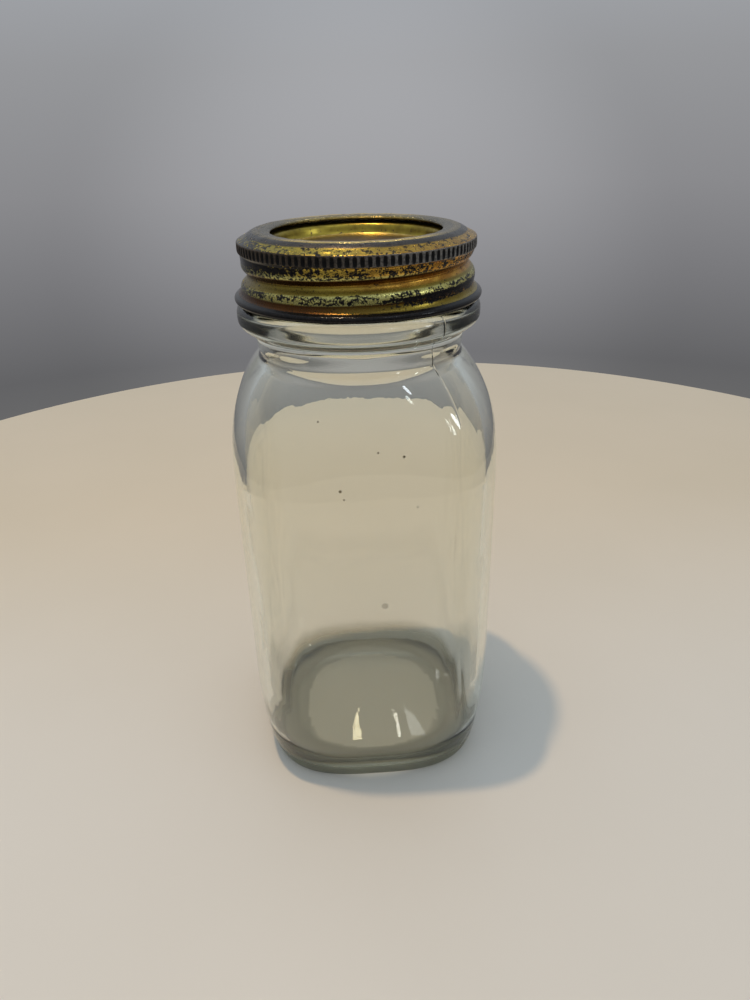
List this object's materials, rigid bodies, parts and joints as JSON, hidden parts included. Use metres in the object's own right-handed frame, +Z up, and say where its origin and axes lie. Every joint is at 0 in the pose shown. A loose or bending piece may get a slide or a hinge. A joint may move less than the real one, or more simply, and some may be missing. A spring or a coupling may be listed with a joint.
{
  "type": "specimen jar",
  "caption": "Clear glass jar with a rounded-square body, round threaded neck, recessed metal lid disc and knurled metal screw band, used to keep or show a specimen.",
  "frame": {"origin": "on the jar's axis, at the middle of the flat ring that it stands on", "axes": "+Z up the jar's axis, +X and +Y square to two neighbouring flat sides of the body, +X to the right when the jar is seen from its front (-Y)"},
  "size_m": [0.084, 0.084, 0.1831],
  "materials": {
    "clear_glass": "clear pressed and blown glass, near colourless with a faint grey-green edge",
    "gold_lacquer": "tinplate with aged gold lacquer",
    "tarnished_band": "gold-lacquered tinplate, tarnished nearly black on the knurl and the bead",
    "sealing_compound": "aged red-brown sealing compound"
  },
  "bodies": {
    "jar": {"glass_jar": "clear_glass"},
    "lid": {"lid_disc": "gold_lacquer", "sealing_ring": "sealing_compound"},
    "band": {"screw_band": "tarnished_band"}
  },
  "joints": [
    {"name": "lid_rise", "type": "slide", "parent": "jar", "child": "lid", "axis": [0, 0, 1], "range_m": [0, 0.0191]},
    {"name": "band_turn", "type": "hinge", "parent": "lid", "child": "band", "pos_m": [0, 0, 0.17], "axis": [0, 0, 1], "range_deg": [0, 1080]}
  ],
  "couplings": [
    {"joint": "lid_rise", "follows": "band_turn", "m_per_rad": 0.0010106}
  ]
}
